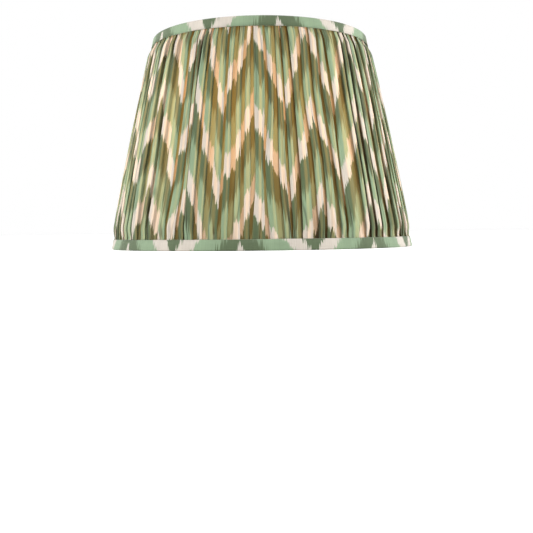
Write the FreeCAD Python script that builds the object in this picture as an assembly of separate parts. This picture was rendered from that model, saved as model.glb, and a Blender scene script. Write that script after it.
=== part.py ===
"""Gathered, tapered lamp shade: two wire rings joined by a stiff conical liner, a gathered
fabric cover in two drops, a self-fabric binding round each ring, and a three-arm fitter
with a lift-out reducer.

Frame: +Z up, origin at the centre of the rim that the shade stands on. Millimetres.
"""

import FreeCAD
import Part

import math
import os

Vector = FreeCAD.Vector

# ---- Driving dimensions ----

# Overall, over the bindings
bottom_diameter = 400.0
top_diameter = 282.0
height = 275.0

# Wall, from outside to inside
binding_thickness = 0.8
gather_thickness = 3.7
liner_thickness = 0.5
ring_wire_diameter = 3.2

# Bindings
binding_outside_height = 13.0
binding_inside_height = 14.0
binding_notch_clearance = 0.3

# Cover, which stands proud of the bindings between them
fabric_drops = 2
cover_bulge = 3.0
seam_gap = 0.1

# Fitter
arm_count = 3
first_arm_angle = 90.0
arm_wire_diameter = 3.2
arm_level_end = 14.0
arm_bend_radius = 12.0
arm_overlap_on_fitter = 4.0
fitter_bore = 42.0
fitter_rim_width = 7.0
fitter_thickness = 2.0
fitter_edge_round = 0.5
fitter_underside_height = 74.0

# Reducer
reducer_bore = 29.0
reducer_spigot_clearance = 0.3
reducer_spigot_depth = 4.5
reducer_flange_overhang = 4.0
reducer_flange_thickness = 1.8
reducer_edge_round = 0.4

# ---- Worked out from the driving dimensions ----

taper = math.atan2((bottom_diameter - top_diameter) / 2, height)
cover_inside = binding_thickness + gather_thickness
wall_inside = cover_inside + liner_thickness
wire_radius = ring_wire_diameter / 2
arm_radius = arm_wire_diameter / 2
ring_level = binding_thickness + wire_radius
spigot_radius = fitter_bore / 2 - reducer_spigot_clearance
fitter_outer_radius = fitter_bore / 2 + fitter_rim_width
fitter_top = fitter_underside_height + fitter_thickness

FULL_TURN = 360.0
NEAR = 1e-3
UP = Vector(0, 0, 1)
CENTRE = Vector(0, 0, 0)


def wall_radius(depth, z):
    """Radius at height z of the cone that lies depth inside the shade's outer face."""
    slope = (top_diameter - bottom_diameter) / 2 / height
    return bottom_diameter / 2 + slope * z - depth / math.cos(taper)


def turned_wire(outline, start=0.0, sweep=FULL_TURN):
    """A closed wire in the XZ plane, turned about the shade's axis."""
    solid = Part.Face(outline).revolve(CENTRE, UP, sweep)
    solid.rotate(CENTRE, UP, start)
    return solid


def turned(points):
    """The closed outline of (radius, z) points, turned about the shade's axis."""
    corners = [Vector(r, 0, z) for r, z in points]
    return turned_wire(Part.makePolygon(corners + corners[:1]))


def tube_of_revolution(inner, outer, low, high):
    """A plain ring with a rectangular section."""
    return turned([(inner, low), (outer, low), (outer, high), (inner, high)])


def rounded(solid, fillet, height_of_edge, smallest_radius=0.0):
    """Rounds the level circular edges at one height, from a given radius outwards."""
    edges = [
        e
        for e in solid.Edges
        if isinstance(e.Curve, Part.Circle)
        and abs(e.BoundBox.Center.z - height_of_edge) < NEAR
        and e.BoundBox.ZLength < NEAR
        and e.Curve.Radius > smallest_radius - NEAR
    ]
    return solid.makeFillet(fillet, edges)


# ---- Frame ----


def ring_radius(z):
    """Radius of a ring wire's centre line, with the wire touching the liner's inner face."""
    return wall_radius(wall_inside + wire_radius, z)


def ring(z):
    wire = Part.makeTorus(ring_radius(z), wire_radius, CENTRE, UP)
    wire.translate(Vector(0, 0, z))
    return wire


def bent_path(points, radius):
    """A wire of straight runs through the points, joined by tangent arcs."""
    edges = []
    start = points[0]
    for before, corner, after in zip(points, points[1:], points[2:]):
        into = (corner - before).normalize()
        out = (after - corner).normalize()
        turn = into.getAngle(out)
        reach = radius * math.tan(turn / 2)
        first = corner - into * reach
        last = corner + out * reach
        inward = (out - into).normalize()
        middle = corner + inward * (radius / math.cos(turn / 2) - radius)
        edges.append(Part.LineSegment(start, first).toShape())
        edges.append(Part.Arc(first, middle, last).toShape())
        start = last
    edges.append(Part.LineSegment(start, points[-1]).toShape())
    return Part.Wire(edges)


def arm_solid(wire_diameter):
    """One fitter arm along +X: level off the bottom ring, up a slope, level under the fitter."""
    outer = ring_radius(ring_level)
    inner = fitter_outer_radius - arm_overlap_on_fitter
    top = fitter_underside_height - arm_radius
    path = bent_path(
        [
            Vector(outer, 0, ring_level),
            Vector(outer - arm_level_end, 0, ring_level),
            Vector(inner + arm_level_end, 0, top),
            Vector(inner, 0, top),
        ],
        arm_bend_radius,
    )
    section = Part.Wire(
        Part.makeCircle(wire_diameter / 2, Vector(outer, 0, ring_level), Vector(-1, 0, 0))
    )
    return path.makePipeShell([section], True, False)


def arm_angle(number):
    """Direction of an arm, with the first one at the back."""
    return first_arm_angle + FULL_TURN * number / arm_count


def arm(number):
    solid = arm_solid(arm_wire_diameter)
    solid.rotate(CENTRE, UP, arm_angle(number))
    return solid.cut(ring(ring_level))


def fitter_ring():
    plain = tube_of_revolution(
        fitter_bore / 2, fitter_outer_radius, fitter_underside_height, fitter_top
    )
    return rounded(plain, fitter_edge_round, fitter_top)


def reducer():
    """Flange that sits on the fitter ring, with a spigot down through its bore."""
    flange_radius = fitter_bore / 2 + reducer_flange_overhang
    top = fitter_top + reducer_flange_thickness
    foot = fitter_top - reducer_spigot_depth
    plain = turned(
        [
            (reducer_bore / 2, foot),
            (spigot_radius, foot),
            (spigot_radius, fitter_top),
            (flange_radius, fitter_top),
            (flange_radius, top),
            (reducer_bore / 2, top),
        ]
    )
    return rounded(plain, reducer_edge_round, top, flange_radius)


# ---- Soft parts ----

wall_foot = binding_thickness
wall_head = height - binding_thickness


def wall_point(depth, z):
    return Vector(wall_radius(depth, z), 0, z)


def liner():
    """The stiff cone, from the lower binding's foot to the upper one's."""
    return turned(
        [
            (wall_radius(wall_inside, wall_foot), wall_foot),
            (wall_radius(cover_inside, wall_foot), wall_foot),
            (wall_radius(cover_inside, wall_head), wall_head),
            (wall_radius(wall_inside, wall_head), wall_head),
        ]
    )


def cover_outline():
    """Section of the cover's envelope: tucked inside the bindings, and bulging between them."""
    lower_edge = wall_point(binding_thickness, binding_outside_height)
    upper_edge = wall_point(binding_thickness, height - binding_outside_height)
    crown = wall_point(-cover_bulge, height / 2)
    inside = Part.makePolygon(
        [
            upper_edge,
            wall_point(binding_thickness, wall_head),
            wall_point(cover_inside, wall_head),
            wall_point(cover_inside, wall_foot),
            wall_point(binding_thickness, wall_foot),
            lower_edge,
        ]
    )
    return Part.Wire(inside.Edges + [Part.Arc(lower_edge, crown, upper_edge).toShape()])


def covered_drop(number):
    """The envelope of one drop of the gathered cover, from seam to seam."""
    sweep = FULL_TURN / fabric_drops
    gap = math.degrees(seam_gap / (top_diameter / 2))
    return turned_wire(cover_outline(), number * sweep + gap / 2, sweep - gap)


def binding(at_top):
    """A strip folded round a ring: outer leg, edge, and an inner leg that lies back on the liner."""

    def point(depth, rise):
        z = height - rise if at_top else rise
        return wall_radius(depth, z), z

    wire_inside = wall_inside + ring_wire_diameter
    wire_crown = binding_thickness + ring_wire_diameter
    lying = wire_crown + ring_wire_diameter
    outline = [
        point(0, 0),
        point(0, binding_outside_height),
        point(binding_thickness, binding_outside_height),
        point(binding_thickness, binding_thickness),
        point(wire_inside, binding_thickness),
        point(wire_inside, wire_crown),
        point(wall_inside, lying),
        point(wall_inside, binding_inside_height),
        point(wall_inside + binding_thickness, binding_inside_height),
        point(wall_inside + binding_thickness, lying),
        point(wire_inside + binding_thickness, wire_crown),
        point(wire_inside + binding_thickness, 0),
    ]
    return turned(outline)


def notched(strip):
    """The lower binding, cut away where the arms leave the ring."""
    for number in range(arm_count):
        clearance = arm_solid(arm_wire_diameter + 2 * binding_notch_clearance)
        clearance.rotate(CENTRE, UP, arm_angle(number))
        strip = strip.cut(clearance)
    return strip


def model():
    parts = {
        "top_ring": ring(height - ring_level),
        "bottom_ring": ring(ring_level),
        "fitter_ring": fitter_ring(),
        "reducer_ring": reducer(),
        "liner": liner(),
        "top_binding": binding(True),
        "bottom_binding": notched(binding(False)),
    }
    for number in range(arm_count):
        parts[f"fitter_arm_{number + 1}"] = arm(number)
    for number in range(fabric_drops):
        parts[f"cover_drop_{number + 1}"] = covered_drop(number)
    return parts


def main():
    os.makedirs("parts", exist_ok=True)
    for name, shape in model().items():
        if not shape.isValid() or not shape.Solids:
            raise ValueError(f"{name} is not a valid solid")
        shape.exportStep(f"parts/{name}.step")
        print(f"{name}: {len(shape.Solids)} solid, {shape.Volume:.0f} mm3")


main()
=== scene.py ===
"""Looks of the gathered lamp shade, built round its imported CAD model.

The cover is two drops of printed cotton laid in S-shaped folds over the liner. The bindings are strips of
the same cloth folded round the rings, and the liner is a lapped cone. Lengths are metres.
"""

import math

import bpy
import numpy as np
from mathutils import Matrix, Vector


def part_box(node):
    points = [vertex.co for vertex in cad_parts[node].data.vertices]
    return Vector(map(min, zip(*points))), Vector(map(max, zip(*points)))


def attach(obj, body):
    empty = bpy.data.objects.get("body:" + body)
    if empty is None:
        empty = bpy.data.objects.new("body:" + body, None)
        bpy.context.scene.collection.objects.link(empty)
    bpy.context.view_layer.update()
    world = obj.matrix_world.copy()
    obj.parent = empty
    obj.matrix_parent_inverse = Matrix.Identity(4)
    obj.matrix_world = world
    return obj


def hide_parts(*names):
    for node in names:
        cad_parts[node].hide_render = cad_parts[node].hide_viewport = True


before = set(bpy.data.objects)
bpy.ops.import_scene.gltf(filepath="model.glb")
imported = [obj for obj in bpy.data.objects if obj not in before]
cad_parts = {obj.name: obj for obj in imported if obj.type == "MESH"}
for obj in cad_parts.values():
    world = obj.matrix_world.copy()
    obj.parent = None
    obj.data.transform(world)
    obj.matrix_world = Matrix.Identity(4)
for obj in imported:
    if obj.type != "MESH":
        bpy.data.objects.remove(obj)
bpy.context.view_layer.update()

MM = 0.001

# ---- The wall, read from the frame ----

BOTTOM_LOW, BOTTOM_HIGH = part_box("bottom_binding")
TOP_LOW, TOP_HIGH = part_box("top_binding")
HEIGHT = TOP_HIGH.z
BINDING_HEIGHT = BOTTOM_HIGH.z
BOTTOM_RADIUS = (BOTTOM_HIGH.x - BOTTOM_LOW.x) / 2
TOP_BINDING_RADIUS = (TOP_HIGH.x - TOP_LOW.x) / 2
# A binding's outside leg is this much shorter than its inside leg
LEG_DIFFERENCE = 1 * MM
SLOPE = (TOP_BINDING_RADIUS - BOTTOM_RADIUS) / (TOP_LOW.z + LEG_DIFFERENCE)
TAPER = math.atan(-SLOPE)


def wall_radius(depth, z):
    """Radius at height z of the cone that lies depth inside the shade's outer face."""
    return BOTTOM_RADIUS + SLOPE * z - depth / math.cos(TAPER)


def depth_of(node):
    """How deep in the wall a CAD node's outer face lies."""
    low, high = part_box(node)
    return (wall_radius(0, low.z) - (high.x - low.x) / 2) * math.cos(TAPER)


LINER_DEPTH = depth_of("liner")
LINER_THICKNESS = 0.5 * MM
LINER_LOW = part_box("liner")[0].z
RING_LOW, RING_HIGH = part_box("bottom_ring")
WIRE = RING_HIGH.z - RING_LOW.z

# ---- The cover's folds ----

DROP_WIDTH = 1.37
FOLDS_IN_DROP = 44
POINTS_IN_FOLD = 32
ROWS = 64
GATHER_SEED = 41
COVER_END = 1.5 * MM

FOLD_WIDTH_SPREAD = 0.32
NARROWEST_FOLD = 0.55
WIDEST_FOLD = 1.7
EDGE_WANDER = 0.24

# Sideways measures of a fold, as shares of its width
LEAN_LEFT = -0.34
LEAN_RIGHT = 0.16
LEAN_STEP = 0.17
LEAN_WANDER = 0.05
FOLD_TUCK = 0.20
TUCK_SPREAD = 0.05
TUCK_WANDER = 0.02
TUCK_SKEW = 0.045
CREST_SQUARENESS = 1.5

# Measures of the folds off the liner
STITCHED_RISE = 3.0 * MM
FREE_RISE = 3.0 * MM
SMALLEST_FREE_SHARE = 0.70
RISE_WANDER = 0.14
FOLD_OPENS_OVER = 13 * MM
COVER_LIFT = 0.45 * MM
COVER_BOW = 1.8 * MM
LOWEST_RISE = 0.3 * MM
UNDER_BINDING = 3.6 * MM
ROOM_PAST_BINDING = 10 * MM
ROOM_OPENS_OVER = 8 * MM

CREASE_CELL = 6.5 * MM
CREASE_LENGTH = 0.45
CREASE_DEPTH = 0.65 * MM
PULL_CELL = 3.5 * MM
PULL_LENGTH = 0.3
PULL_DEPTH = 0.25 * MM
PULL_DEPTH_AT_RIM = 0.40 * MM
PULL_DEPTH_REACH = 30 * MM
VALLEY_CREASE = 0.4

# Reach and depth of the painted shade in the crevices under the folds, and of the painted shade lines of the
# gathers
CREVICE_BESIDE = 0.6 * MM
CREVICE_UNDER = 0.3 * MM
FAINTEST_CREVICE = 0.45
CREVICE_TOP = 0.75
CREVICE_FOOT = 0.35
LINES_EVERYWHERE = 0.5
LINES_REACH = 34 * MM

# ---- The bindings and the liner ----

BINDING_CLOTH = 0.8 * MM
BINDING_COLUMNS = 480
BINDING_LAP = 0.7 * MM
LAP_STARTS = 16 * MM
LAP_FULL = 9 * MM
LAP_END = 0.4 * MM
RIPPLE_CELL = 7 * MM
RIPPLE_DEPTH = 0.22 * MM
EDGE_WAVE_CELL = 16 * MM
EDGE_WAVE_DEPTH = 0.25 * MM
LINER_COLUMNS = 200
LINER_ROWS = 12
LINER_LAP = math.radians(3.2)
LINER_LAP_STEP = 0.55 * MM
LINER_PLAY = 0.05 * MM
LINER_BUILT_THICKNESS = 0.4 * MM

# ---- The print ----

REPEAT_ACROSS = 0.168
REPEAT_UP = 0.104
ZIGZAG_RISE = 0.96
CROWN_SPIKE = 0.08
FOOT_SPIKE = 0.15
CREAM_SHARE = 0.27
SAGE_SHARE = 0.36
CREAM_EDGE = 0.008
CREAM_FOOT_EDGE = 0.014
MOSS_EDGE = 0.035
# Degrees from the middle of each drop to the low points of the print's zigzag
ZIGZAG_FEET = (
    (-77.5, -55.0, -33.5, -10.0, 11.5, 36.0, 58.0, 80.5),
    (-79.0, -56.5, -34.4, -15.3, 10.6, 32.4, 55.0, 77.0),
)
PRINT_SAG = 22 * MM
SAG_FROM, SAG_FULL, SAG_FADES, SAG_ENDS = 8, 36, 50, 85
COVER_PHASE_UP = 0.47
BINDING_PHASE_UP = -0.03
BOTTOM_PRINT_FOOT = -6.6
TOP_PRINT_FOOT = 9.5

# ---- Colours, as sRGB ----

CREAM = (199, 190, 178)
SAGE = (131, 153, 121)
MOSS = (81, 97, 65)
UNDYED = (224, 204, 176)
SHADOW = (34, 28, 14)
LINER_DIM = (246, 241, 229)
LINER_BRIGHT = (252, 249, 241)
PAINT = (232, 231, 226)
PAINT_WORN = (205, 202, 193)
PLASTIC = (238, 236, 229)
PLASTIC_SHADED = (226, 223, 213)
FLOOR_DIM = (251, 251, 251)
FLOOR_BRIGHT = (254, 254, 254)
LAMP = (255, 188, 88)

# ---- Camera and light ----

FOCAL_SHARE = 847.7 / 533
SENSOR = 36.0
CAMERA_AWAY = 1.145
CAMERA_HEIGHT = 0.0238
CAMERA_RIGHT = 0.0056
LOOKS_DOWN = 0.0437
ROLL = -0.0118
NEAREST_SEEN = 0.005
FLOOR_REACH = 9
LIGHTS_AIM = (0, 0, 0.14)
# Name, place, size and power of each area light
STUDIO_LIGHTS = (
    ("key", (-1.9, -0.6, 0.9), 0.9, 46),
    ("fill", (1.9, -0.5, 0.8), 1.2, 52),
    ("front", (-0.4, -2.4, 1.3), 1.0, 6),
)
BULB_HEIGHT = 0.13
BULB_RADIUS = 0.03
GLOW_POWER = 2.2
INSIDE_POWER = 0.55


def linear(rgb):
    """An sRGB colour of 0 to 255 as an opaque linear RGBA tuple."""
    parts = [c / 255 for c in rgb]
    flat = [c / 12.92 if c <= 0.04045 else ((c + 0.055) / 1.055) ** 2.4 for c in parts]
    return (*flat, 1.0)


# ---- Small helpers ----


def smooth(low, high, x):
    t = np.clip((x - low) / (high - low), 0, 1)
    return t * t * (3 - 2 * t)


def drift(rng, knots, count, at):
    """count smooth random curves between -1 and 1, each read at the places at (0 to 1)."""
    values = rng.uniform(-1, 1, (count, knots))
    place = np.clip(at, 0, 1) * (knots - 1)
    first = np.minimum(place.astype(int), knots - 2)
    share = smooth(0, 1, place - first)
    return values[:, first] * (1 - share) + values[:, first + 1] * share


def grain(rng, across, up, cell_across, cell_up):
    """Smooth random field between -1 and 1 over the cloth, in cells of the given size."""
    i, j = across / cell_across, up / cell_up
    values = rng.uniform(-1, 1, (int(i.max()) + 3, int(j.max()) + 3))
    a, b = i.astype(int), j.astype(int)
    s, t = smooth(0, 1, i - a), smooth(0, 1, j - b)
    low = values[a, b] * (1 - s) + values[a + 1, b] * s
    high = values[a, b + 1] * (1 - s) + values[a + 1, b + 1] * s
    return low * (1 - t) + high * t


def on_cone(radius, angle, z):
    """Points at a radius, an angle and a height, one in each row of the result."""
    angle, z = np.broadcast_arrays(angle, z)
    points = np.stack([radius * np.cos(angle), radius * np.sin(angle), z], -1)
    return points.reshape(-1, 3)


def mesh_object(name, points, faces, material):
    mesh = bpy.data.meshes.new(name)
    mesh.from_pydata(points, [], faces)
    mesh.polygons.foreach_set("use_smooth", [True] * len(mesh.polygons))
    mesh.materials.append(material)
    piece = bpy.data.objects.new(name, mesh)
    bpy.context.scene.collection.objects.link(piece)
    return piece


def grid_faces(rows, columns, closed_across=False, closed_up=False):
    """Quads of a grid of points stored row by row."""
    faces = []
    for i in range(rows if closed_up else rows - 1):
        above = (i + 1) % rows
        for j in range(columns if closed_across else columns - 1):
            k = (j + 1) % columns
            faces.append((i * columns + j, i * columns + k, above * columns + k, above * columns + j))
    return faces


def add_value(piece, name, values):
    """A number on each point of a piece, for its material."""
    made = piece.data.attributes.new(name, "FLOAT", "POINT")
    made.data.foreach_set("value", np.asarray(values, np.float32).ravel())


def add_uv(piece, name, across, up, wrap=None):
    """A UV map in metres of cloth. wrap mends the column where a closed piece meets itself."""
    mesh = piece.data
    corners = np.empty(len(mesh.loops), int)
    mesh.loops.foreach_get("vertex_index", corners)
    u, v = across[corners], up[corners]
    if wrap:
        faces = u.reshape(-1, 4)
        faces += np.where(faces < faces.max(1, keepdims=True) - wrap / 2, wrap, 0)
        u = faces.reshape(-1)
    uv = np.stack([u, v], 1).astype(np.float32)
    mesh.uv_layers.new(name=name).data.foreach_set("uv", uv.ravel())


# ---- Materials ----


class Nodes:
    """A material's node tree, with short calls for the nodes used here."""

    def __init__(self, name):
        self.material = bpy.data.materials.new(name)
        self.material.use_nodes = True
        self.tree = self.material.node_tree
        self.tree.nodes.clear()
        self.out = self.tree.nodes.new("ShaderNodeOutputMaterial")

    def put(self, socket, value):
        if isinstance(value, bpy.types.NodeSocket):
            self.tree.links.new(value, socket)
        elif value is not None:
            socket.default_value = value

    def node(self, kind, settings=None, **inputs):
        made = self.tree.nodes.new(kind)
        for name, value in (settings or {}).items():
            setattr(made, name, value)
        for name, value in inputs.items():
            self.put(made.inputs[name.replace("_", " ")], value)
        return made

    def maths(self, operation, *values, clamp=False):
        made = self.node("ShaderNodeMath", {"operation": operation, "use_clamp": clamp})
        for socket, value in zip(made.inputs, values):
            self.put(socket, value)
        return made.outputs[0]

    def add(self, a, b):
        return self.maths("ADD", a, b)

    def less(self, a, b):
        return self.maths("SUBTRACT", a, b)

    def times(self, a, b):
        return self.maths("MULTIPLY", a, b)

    def opposite(self, a):
        """1 - a, never below 0."""
        return self.maths("SUBTRACT", 1.0, a, clamp=True)

    def vector(self, x, y, z=0.0):
        return self.node("ShaderNodeCombineXYZ", X=x, Y=y, Z=z).outputs[0]

    def noise(self, vector, scale=1.0, detail=2.0):
        return self.node("ShaderNodeTexNoise", Vector=vector, Scale=scale, Detail=detail).outputs[0]

    def cloth_noise(self, u, v, across, up, detail=2.0):
        """Noise on the cloth, in grains of the given size across and up."""
        place = self.vector(self.maths("DIVIDE", u, across), self.maths("DIVIDE", v, up))
        return self.noise(place, detail=detail)

    def step(self, value, low, high):
        """0 below low and 1 above high, with a smooth rise between."""
        made = self.node("ShaderNodeMapRange", {"interpolation_type": "SMOOTHSTEP"}, Value=value)
        made.inputs["From Min"].default_value = low
        made.inputs["From Max"].default_value = high
        return made.outputs[0]

    def mix(self, share, a, b):
        made = self.node("ShaderNodeMix", {"data_type": "RGBA"})
        share_socket, a_socket, b_socket = made.inputs[0], made.inputs[6], made.inputs[7]
        self.put(share_socket, share)
        self.put(a_socket, a)
        self.put(b_socket, b)
        return made.outputs[2]

    def bump(self, height, distance, strength=1.0, normal=None):
        made = self.node("ShaderNodeBump", Height=height, Distance=distance, Strength=strength)
        self.put(made.inputs["Normal"], normal)
        return made.outputs[0]

    def value_of(self, name):
        return self.node("ShaderNodeAttribute", {"attribute_name": name}).outputs["Fac"]

    def in_object(self):
        return self.node("ShaderNodeTexCoord").outputs["Object"]

    def principled(self, **inputs):
        return self.node("ShaderNodeBsdfPrincipled", **inputs).outputs[0]

    def partly_lit_through(self, front, colour, normal, share):
        """A surface that passes the given share of the light on, tinted by colour."""
        through = self.node("ShaderNodeBsdfTranslucent", Color=colour, Normal=normal).outputs[0]
        both = self.node("ShaderNodeMixShader", Fac=share)
        self.put(both.inputs[1], front)
        self.put(both.inputs[2], through)
        return both.outputs[0]

    def finish(self, surface):
        self.tree.links.new(surface, self.out.inputs["Surface"])
        return self.material


def zigzag_rise(n, u):
    """Height of the zigzag at u, in repeats, with its crowns and feet drawn out to points."""
    zigzag = n.times(n.maths("PINGPONG", n.maths("DIVIDE", u, REPEAT_ACROSS), 0.5), 2.0)
    foot = n.maths("POWER", n.opposite(zigzag), 9.0)
    crown = n.maths("POWER", zigzag, 11.0)
    rise = n.add(n.times(zigzag, ZIGZAG_RISE), n.times(crown, CROWN_SPIKE))
    return n.less(rise, n.times(foot, FOOT_SPIKE))


def zigzag_colour(n, u, v, repeat_up, phase_up, value):
    """The ikat print: a cream zigzag, sage above it and moss below it, with feathered edges."""
    threads = n.cloth_noise(u, v, 1.3 * MM, 60 * MM)
    groups = n.cloth_noise(u, v, 4.6 * MM, 110 * MM)
    ragged = n.less(n.add(n.times(threads, 0.30), n.times(groups, 0.20)), 0.25)
    level = n.less(n.maths("DIVIDE", v, repeat_up), zigzag_rise(n, u))
    level = n.maths("FRACT", n.add(level, n.add(ragged, phase_up)))
    past_cream = n.step(level, CREAM_SHARE - CREAM_EDGE, CREAM_SHARE + CREAM_EDGE)
    cream = n.times(n.step(level, 0.0, CREAM_FOOT_EDGE), n.less(1.0, past_cream))
    feather = n.add(level, n.times(n.less(threads, 0.5), 0.30))
    middle = CREAM_SHARE + SAGE_SHARE
    moss = n.step(feather, middle - MOSS_EDGE, middle + MOSS_EDGE)
    green = n.mix(moss, linear(SAGE), linear(MOSS))
    tone = n.cloth_noise(u, v, 20 * MM, 50 * MM, detail=3.0)
    streaks = n.add(n.times(threads, 0.30), n.times(tone, 0.28))
    dyed = n.mix(cream, green, linear(CREAM))
    # value sets how light the print is; the binding's lower value is painted shade
    brightness = n.add(streaks, value - 0.29)
    return n.node("ShaderNodeHueSaturation", Color=dyed, Value=brightness).outputs[0]


def gather_shade_lines(n, u, v, colour):
    """Painted shade: thin shaded lines where the cloth is pulled tight, fainter on the pale parts of the
    print.
    """
    off_line = n.maths("ABSOLUTE", n.less(n.cloth_noise(u, v, 11 * MM, 220 * MM, detail=1.0), 0.5))
    lines = n.times(n.less(1.0, n.step(off_line, 0.004, 0.03)), n.value_of("pulled"))
    paleness = n.node("ShaderNodeRGBToBW", Color=colour).outputs[0]
    return n.times(lines, n.opposite(n.times(paleness, 1.4)))


def weave_height(n, u, v, pitch):
    """Plain weave: two sets of ridges that cross over and under each other."""
    warp = n.maths("SINE", n.times(u, 2 * math.pi / pitch))
    weft = n.maths("SINE", n.times(v, 2 * math.pi / pitch))
    return n.times(warp, weft)


def cloth_material(name, repeat_up, phase_up, lets_through, value):
    """Printed cotton that lets lamplight through where it lies in a single layer, with painted shade in its
    crevices and along its gather lines.
    """
    n = Nodes(name)
    split = n.node("ShaderNodeSeparateXYZ", Vector=n.node("ShaderNodeUVMap", {"uv_map": "cloth"}).outputs[0])
    u, v = split.outputs[0], split.outputs[1]
    colour = zigzag_colour(n, u, v, repeat_up, phase_up, value)
    seen_through = n.mix(0.33, colour, linear(UNDYED))
    # Painted shade: the crevices and gather lines mix SHADOW into both the reflected and the lamplit colour
    crease_shade = n.maths("MAXIMUM", n.value_of("crevice_shade"), gather_shade_lines(n, u, v, colour))
    crease_shade = n.times(crease_shade, 0.93)
    colour = n.mix(crease_shade, colour, linear(SHADOW))
    seen_through = n.mix(crease_shade, seen_through, linear(SHADOW))
    slubs = n.cloth_noise(u, v, 0.9 * MM, 20 * MM)
    normal = n.bump(weave_height(n, u, v, 0.7 * MM), 0.05 * MM, 0.5)
    normal = n.bump(slubs, 0.12 * MM, 0.6, normal)
    front = n.principled(Base_Color=colour, Roughness=0.86, Sheen_Weight=0.12, Normal=normal)
    return n.finish(n.partly_lit_through(front, seen_through, normal, lets_through))


def liner_material():
    """White laminate: a faint cloth texture, dense enough to spread the lamplight."""
    n = Nodes("liner_laminate_finish")
    place = n.in_object()
    colour = n.mix(n.noise(place, 14.0, 3.0), linear(LINER_DIM), linear(LINER_BRIGHT))
    normal = n.bump(n.noise(place, 900.0, 3.0), 0.04 * MM, 0.6)
    front = n.principled(Base_Color=colour, Roughness=0.7, Normal=normal)
    return n.finish(n.partly_lit_through(front, colour, normal, 0.5))


def paint_material():
    """White powder coat: fine orange peel, slightly worn and warmer in places."""
    n = Nodes("frame_wire_finish")
    place = n.in_object()
    wear = n.step(n.noise(place, 60.0, 4.0), 0.58, 0.80)
    colour = n.mix(wear, linear(PAINT), linear(PAINT_WORN))
    roughness = n.add(n.times(wear, 0.2), 0.34)
    normal = n.bump(n.noise(place, 1400.0), 0.03 * MM, 0.7)
    return n.finish(n.principled(Base_Color=colour, Roughness=roughness, Normal=normal))


def plastic_material():
    """Moulded white plastic with a fine spark-eroded grain."""
    n = Nodes("reducer_plastic_finish")
    place = n.in_object()
    colour = n.mix(n.noise(place, 80.0), linear(PLASTIC), linear(PLASTIC_SHADED))
    normal = n.bump(n.noise(place, 2200.0), 0.03 * MM, 0.8)
    return n.finish(n.principled(Base_Color=colour, Roughness=0.48, Normal=normal))


def floor_material():
    n = Nodes("floor_finish")
    tone = n.mix(n.noise(n.in_object(), 3.0), linear(FLOOR_DIM), linear(FLOOR_BRIGHT))
    return n.finish(n.principled(Base_Color=tone, Roughness=0.9))


# ---- The gathered cover ----


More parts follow.
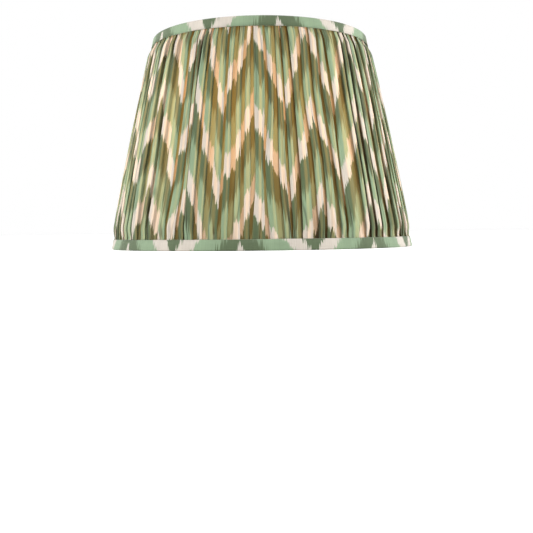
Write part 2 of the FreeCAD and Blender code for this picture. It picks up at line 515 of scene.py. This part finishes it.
class Gather:
    """The folds of one drop of cloth over half the shade.

    The arrays run over the folds, then the heights, then the points across one fold.
    """

    def __init__(self, number):
        self.number = number
        self.rng = np.random.default_rng(GATHER_SEED + number)
        self.height = np.linspace(COVER_END, HEIGHT - COVER_END, ROWS)
        self.share = self.height / HEIGHT
        self.radius = wall_radius(LINER_DEPTH, self.height)
        self.edges = self.fold_edges()
        self.pitch = np.diff(self.edges, axis=0) * self.radius

    def fold_edges(self):
        """Angle of each fold's edge at each height, from seam to seam."""
        spread = np.exp(self.rng.normal(0, FOLD_WIDTH_SPREAD, FOLDS_IN_DROP))
        widths = np.clip(spread, NARROWEST_FOLD, WIDEST_FOLD)
        widths *= math.pi / widths.sum()
        inner = np.cumsum(widths)[:-1, None]
        room = np.minimum(widths[1:], widths[:-1])[:, None]
        inner = inner + drift(self.rng, 4, FOLDS_IN_DROP - 1, self.share) * EDGE_WANDER * room
        ends = np.ones((1, ROWS))
        return np.concatenate([0 * ends, inner, math.pi * ends])

    def tucks(self):
        """How far each fold's cloth doubles back under itself, as a share of its width."""
        tuck = FOLD_TUCK + self.rng.uniform(-TUCK_SPREAD, TUCK_SPREAD, (FOLDS_IN_DROP, 1))
        return tuck + TUCK_WANDER * drift(self.rng, 4, FOLDS_IN_DROP, self.share)

    def leans(self):
        """How far each fold's crest lies over to one side, as a share of its width."""
        lean = self.rng.uniform(LEAN_LEFT, LEAN_RIGHT, FOLDS_IN_DROP)
        for i in reversed(range(FOLDS_IN_DROP - 1)):
            lean[i] = min(lean[i], lean[i + 1] + LEAN_STEP)
        lean[0] = max(lean[0], 0.0)
        lean[-1] = min(lean[-1], 0.0)
        return lean[:, None] + LEAN_WANDER * drift(self.rng, 4, FOLDS_IN_DROP, self.share)

    def rises(self):
        """Height of each fold: flat under the bindings, full between them."""
        free = smooth(0, FOLD_OPENS_OVER, self.from_binding())
        size = self.rng.uniform(SMALLEST_FREE_SHARE, 1.0, (FOLDS_IN_DROP, 1))
        wave = 1 + RISE_WANDER * drift(self.rng, 5, FOLDS_IN_DROP, self.share)
        return STITCHED_RISE + free * FREE_RISE * size * wave

    def lift(self):
        """How far the whole cover stands off the liner, most at mid height."""
        bow = np.clip((self.height - BINDING_HEIGHT) / (HEIGHT - 2 * BINDING_HEIGHT), 0, 1)
        return COVER_LIFT + COVER_BOW * (1 - (2 * bow - 1) ** 4)

    def from_binding(self):
        """Distance of each row from the nearer binding's edge."""
        return np.maximum(np.minimum(self.height, HEIGHT - self.height) - BINDING_HEIGHT, 0)

    def most_rise(self):
        """Room for the cover over the liner at each height."""
        past = smooth(0, ROOM_OPENS_OVER, self.from_binding())
        return UNDER_BINDING + ROOM_PAST_BINDING * past

    def build(self, material):
        around = 2 * math.pi * np.arange(POINTS_IN_FOLD) / POINTS_IN_FOLD
        crest = 1 - np.tanh(CREST_SQUARENESS * np.cos(around)) / math.tanh(CREST_SQUARENESS)
        crest = crest / 2
        sideways = self.tucks()[:, :, None] * np.sin(2 * around) + TUCK_SKEW * np.sin(around)
        sideways = sideways + self.leans()[:, :, None] * crest
        across = self.pitch[:, :, None] * (around / (2 * math.pi) + sideways)
        rise = self.rises()[:, :, None] * crest
        cloth = as_rows(self.cloth_across(across, rise), DROP_WIDTH)
        angle = as_rows(self.edges[:-1, :, None] + across / self.radius[None, :, None], math.pi)
        crevice_shade = as_rows(self.crevice_shades(across, crest), 0.0)
        height = self.height[:, None] + 0 * angle
        on_crest = as_rows(VALLEY_CREASE + (1 - VALLEY_CREASE) * crest, VALLEY_CREASE)
        rise = as_rows(rise, 0.0) + self.lift()[:, None] + self.creases(cloth, height) * on_crest
        rise = np.clip(rise, LOWEST_RISE, self.most_rise()[:, None])
        piece = self.piece(material, angle, rise, cloth, height)
        # Strength of the painted shade lines of the gathers, greatest near the bindings
        near = np.exp(-((self.from_binding() / LINES_REACH) ** 2))
        pulled = LINES_EVERYWHERE + (1 - LINES_EVERYWHERE) * near
        # The crevice mask paints shade where the cloth dives under a fold
        add_value(piece, "crevice_shade", crevice_shade)
        add_value(piece, "pulled", pulled[:, None] + 0 * angle)
        return piece

    def crevice_shades(self, across, crest):
        """Painted shade: 1 where the cloth dives under the left edge of a fold, 0 on the open cloth."""
        upper = np.where(crest > 0.5, across, np.inf)
        left = upper.min(2, keepdims=True)
        pitch = self.pitch[:, :, None]
        in_this_fold = smooth(left - CREVICE_BESIDE, left + CREVICE_UNDER, across)
        from_last_fold = smooth(left - CREVICE_BESIDE, left + CREVICE_UNDER, across + pitch)
        past_middle = np.arange(POINTS_IN_FOLD) > POINTS_IN_FOLD // 2
        inside = np.where(past_middle, from_last_fold * (across < 0), in_this_fold)
        depth = self.rng.uniform(FAINTEST_CREVICE, 1.0, (FOLDS_IN_DROP, 1, 1))
        return inside * depth * smooth(CREVICE_TOP, CREVICE_FOOT, crest)

    def cloth_across(self, across, rise):
        """Place on the flat cloth of each point, so that the print's feet fall where they are set."""
        middle = ROWS // 2
        x, y = across[:, middle], rise[:, middle]
        x = np.concatenate([x, x[:, :1] + self.pitch[:, middle, None]], axis=1)
        y = np.concatenate([y, y[:, :1]], axis=1)
        step = np.hypot(np.diff(x, axis=1), np.diff(y, axis=1))
        length = np.cumsum(step, axis=1) - step
        share = length / step.sum(1)[:, None]
        marks = np.interp(self.edges[:, middle], *self.print_marks())
        return (marks[:-1, None] + share * np.diff(marks)[:, None])[:, None, :]

    def print_marks(self):
        """Angles round the drop, and the places on the cloth that are gathered to them."""
        feet = np.radians(np.array(ZIGZAG_FEET[self.number]) + 90)
        repeats = np.arange(len(feet)) + 1
        start = repeats[0] - feet[0] / (feet[1] - feet[0])
        end = repeats[-1] + (math.pi - feet[-1]) / (feet[-1] - feet[-2])
        angles = np.concatenate([[0], feet, [math.pi]])
        return angles, np.concatenate([[start], repeats, [end]]) * REPEAT_ACROSS

    def creases(self, cloth, height):
        """Fine pulls in the cloth, deeper where it is gathered under the bindings."""
        up = height / HEIGHT
        cloth = cloth - cloth.min()
        long_folds = grain(self.rng, cloth, up, CREASE_CELL, CREASE_LENGTH)
        pulls = grain(self.rng, cloth, up, PULL_CELL, PULL_LENGTH)
        from_rim = np.minimum(height, HEIGHT - height)
        near = np.exp(-((from_rim / PULL_DEPTH_REACH) ** 2))
        return long_folds * CREASE_DEPTH + pulls * (PULL_DEPTH + PULL_DEPTH_AT_RIM * near)

    def piece(self, material, angle, rise, cloth, height):
        angle = angle + self.number * math.pi
        radius = wall_radius(LINER_DEPTH, height) + rise * math.cos(TAPER)
        points = on_cone(radius, angle, height + rise * math.sin(TAPER))
        faces = grid_faces(ROWS, angle.shape[1])
        piece = mesh_object(f"gathered_drop_{self.number + 1}", points.tolist(), faces, material)
        along = height / math.cos(TAPER) + print_shift(angle)
        add_uv(piece, "cloth", cloth.ravel(), along.ravel())
        return piece


def as_rows(values, last):
    """Fold by fold values set row by row along the drop, closed by the value at its last edge."""
    whole = np.broadcast_to(values, (FOLDS_IN_DROP, ROWS, POINTS_IN_FOLD))
    flat = whole.transpose(1, 0, 2).reshape(ROWS, -1)
    return np.concatenate([flat, np.full((ROWS, 1), last)], axis=1)


def print_shift(angle):
    """The print climbs a little towards the left of the front, as the cloth was laid."""
    leftward = 270 - np.degrees(angle)
    return -PRINT_SAG * smooth(SAG_FROM, SAG_FULL, leftward) * (1 - smooth(SAG_FADES, SAG_ENDS, leftward))


# ---- Bindings and liner ----


def binding_section():
    """Closed outline (depth, rise) of a folded strip round a ring, rounded at the rim."""
    cloth = BINDING_CLOTH
    outside = BINDING_HEIGHT - LEG_DIFFERENCE
    inside = BINDING_HEIGHT
    inner = LINER_DEPTH + LINER_THICKNESS
    wire_side = inner + WIRE
    rim = 2.2 * MM
    turn = 1.4 * MM
    outer_leg = [(0.02 * MM, outside), (0.0, 0.6 * outside), (0.0, rim)]
    outer_turn = [
        (rim * (1 - math.cos(a)), rim * (1 - math.sin(a)))
        for a in np.radians([20, 45, 70])
    ]
    foot = [(rim, 0.0), (wire_side - turn, 0.0)]
    inner_turn = [
        (wire_side + cloth - turn + turn * math.sin(a), turn * (1 - math.cos(a)))
        for a in np.radians([30, 60, 90])
    ]
    over_wire = [
        (wire_side + cloth, cloth + 0.75 * WIRE),
        (wire_side + 0.4 * cloth, cloth + 1.1 * WIRE),
        (inner + 1.5 * cloth, cloth + 1.6 * WIRE),
        (inner + cloth, cloth + 2.1 * WIRE),
    ]
    inner_edge = [
        (inner + cloth, inside - 0.3 * MM),
        (inner + 0.6 * cloth, inside),
        (inner + 0.05 * MM, inside - 0.1 * MM),
    ]
    back_over_wire = [
        (inner + 0.05 * MM, cloth + 2.0 * WIRE),
        (inner + 0.7 * cloth, cloth + 1.5 * WIRE),
        (wire_side - 0.4 * cloth, cloth + 0.95 * WIRE),
        (wire_side, cloth + 0.6 * WIRE),
        (wire_side - 0.3 * MM, cloth + 0.2 * WIRE),
    ]
    back = [
        (wire_side - 1.0 * MM, cloth),
        (rim + 0.3 * MM, cloth),
        (cloth + 0.2 * MM, rim),
        (cloth, 0.5 * outside),
        (cloth, outside - 0.3 * MM),
        (0.5 * cloth, outside + 0.1 * MM),
    ]
    return outer_leg + outer_turn + foot + inner_turn + over_wire + inner_edge + back_over_wire + back


def strip_lengths(section):
    """Distance along the strip of each point of its section."""
    steps = np.hypot(*np.diff(np.array(section), axis=0).T)
    return np.concatenate([[0], np.cumsum(steps)])


def rim_length(at_top):
    return 2 * math.pi * wall_radius(0, HEIGHT if at_top else 0)


def binding(name, at_top, print_foot, material, seed):
    """A strip of the same cloth, ungathered, folded round a ring, with its lapped end at the back."""
    rng = np.random.default_rng(seed)
    section = binding_section()
    rounds = rim_length(at_top)
    turn = np.arange(BINDING_COLUMNS) / BINDING_COLUMNS
    turn[-1] = 1 - LAP_END / rounds
    angle = turn * 2 * math.pi + math.pi / 2
    print_start = 0.5 + print_foot / 360
    settled = smooth(0, 0.02, turn) * smooth(0, 0.02, 1 - turn)
    ripple = grain(rng, turn * rounds, turn * 0, RIPPLE_CELL, 1.0) * RIPPLE_DEPTH * settled
    edge_wave = grain(rng, turn * rounds, turn * 0, EDGE_WAVE_CELL, 1.0) * EDGE_WAVE_DEPTH * settled
    lap = smooth(-LAP_STARTS, -LAP_FULL, (turn - 1) * rounds) * BINDING_LAP
    points, across, up = [], [], []
    for (depth, rise), length in zip(section, strip_lengths(section)):
        on_leg = min(1.0, rise / (6 * MM))
        deep = depth - ripple * on_leg - lap * (depth < LINER_DEPTH)
        high = rise + edge_wave * smooth(8 * MM, 12 * MM, rise)
        z = HEIGHT - high if at_top else high
        points.append(on_cone(wall_radius(deep, z), angle, z))
        across.append((turn - print_start) * rounds)
        up.append(np.full(BINDING_COLUMNS, length if at_top else BINDING_HEIGHT - length))
    faces = grid_faces(len(section), BINDING_COLUMNS, closed_across=True, closed_up=True)
    if at_top:
        faces = [tuple(reversed(f)) for f in faces]
    piece = mesh_object(name, np.concatenate(points).tolist(), faces, material)
    add_uv(piece, "cloth", np.concatenate(across), np.concatenate(up), wrap=rounds)
    return piece


def liner(material):
    """The conical laminate, with its two ends lapped at the back."""
    turned = np.linspace(-LINER_LAP, 2 * math.pi + LINER_LAP, LINER_COLUMNS)
    lapped = smooth(2 * math.pi - 0.05, 2 * math.pi - 0.005, turned) * LINER_LAP_STEP
    points = []
    for side in (0, LINER_BUILT_THICKNESS):
        for z in np.linspace(LINER_LOW, HEIGHT - LINER_LOW, LINER_ROWS):
            radius = wall_radius(LINER_DEPTH + LINER_PLAY + side + lapped, z)
            points.append(on_cone(radius, turned + math.pi / 2, z))
    faces = grid_faces(2 * LINER_ROWS, LINER_COLUMNS, closed_up=True)
    return mesh_object("lapped_liner", np.concatenate(points).tolist(), faces, material)


# ---- Stage, light and camera ----


def make_camera():
    data = bpy.data.cameras.new("camera")
    data.sensor_width = SENSOR
    data.lens = SENSOR * FOCAL_SHARE
    data.clip_start = NEAREST_SEEN
    camera = bpy.data.objects.new("camera", data)
    camera.matrix_world = (
        Matrix.Translation((CAMERA_RIGHT, -CAMERA_AWAY, CAMERA_HEIGHT))
        @ Matrix.Rotation(math.pi / 2 - LOOKS_DOWN, 4, "X")
        @ Matrix.Rotation(ROLL, 4, "Z")
    )
    bpy.context.scene.collection.objects.link(camera)
    bpy.context.scene.camera = camera


def area_light(name, place, size, power):
    data = bpy.data.lights.new(name, "AREA")
    data.size = size
    data.energy = power
    light = bpy.data.objects.new(name, data)
    bpy.context.scene.collection.objects.link(light)
    light.location = place
    light.rotation_mode = "QUATERNION"
    toward = Vector(LIGHTS_AIM) - Vector(place)
    light.rotation_quaternion = toward.to_track_quat("-Z", "Y")


def bulb(name, power, lights_only=None):
    """Warm lamp inside the shade. lights_only keeps its light to the pieces given."""
    data = bpy.data.lights.new(name, "POINT")
    data.energy = power
    data.color = linear(LAMP)[:3]
    data.shadow_soft_size = BULB_RADIUS
    light = bpy.data.objects.new(name, data)
    light.location = (0, 0, BULB_HEIGHT)
    bpy.context.scene.collection.objects.link(light)
    if lights_only:
        lit = bpy.data.collections.new(name + "_lights")
        for piece in lights_only:
            lit.objects.link(piece)
        light.light_linking.receiver_collection = lit
        light.light_linking.blocker_collection = lit


def make_stage():
    edge = FLOOR_REACH
    corners = [(-edge, -edge, 0), (edge, -edge, 0), (edge, edge, 0), (-edge, edge, 0)]
    mesh_object("floor", corners, [(0, 1, 2, 3)], floor_material())
    world = bpy.data.worlds.new("studio")
    world.use_nodes = True
    world.node_tree.nodes["Background"].inputs["Color"].default_value = (1, 1, 1, 1)
    world.node_tree.nodes["Background"].inputs["Strength"].default_value = 1.0
    bpy.context.scene.world = world
    for light in STUDIO_LIGHTS:
        area_light(*light)
    bpy.context.scene.view_settings.view_transform = "Standard"


# ---- The pieces on their bodies ----


def add_cover():
    """Both drops of the gathered cover, as a list."""
    cloth = cloth_material("cover_fabric_finish", REPEAT_UP, COVER_PHASE_UP, 0.40, 1.01)
    drops = []
    for number in range(2):
        drop = Gather(number).build(cloth)
        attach(drop, "shade")
        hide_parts(f"cover_drop_{number + 1}")
        drops.append(drop)
    return drops


def add_bindings():
    """The strip round each rim. Its print is laid upside down, and painted darker than the cover's (value
    0.66 against 1.01) as painted shade.
    """
    cloth = cloth_material("binding_fabric_finish", -REPEAT_UP, BINDING_PHASE_UP, 0.05, 0.66)
    for end, at_top, print_foot, seed in (
        ("bottom", False, BOTTOM_PRINT_FOOT, 3),
        ("top", True, TOP_PRINT_FOOT, 4),
    ):
        piece = binding(f"{end}_rim_binding", at_top, print_foot, cloth, seed)
        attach(piece, "shade")
        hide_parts(f"{end}_binding")


def add_liner():
    piece = liner(liner_material())
    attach(piece, "shade")
    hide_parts("liner")


def paint_frame():
    """Finishes on the CAD pieces that stay in sight."""
    paint, plastic = paint_material(), plastic_material()
    for name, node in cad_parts.items():
        node.data.materials.clear()
        node.data.materials.append(plastic if name == "reducer_ring" else paint)


def main():
    make_camera()
    make_stage()
    drops = add_cover()
    add_bindings()
    # A bulb bright enough to glow through the cloth would white out the inside, so the glow has its own
    bulb("bulb_glow", GLOW_POWER, drops)
    bulb("bulb_inside", INSIDE_POWER)
    add_liner()
    paint_frame()


main()
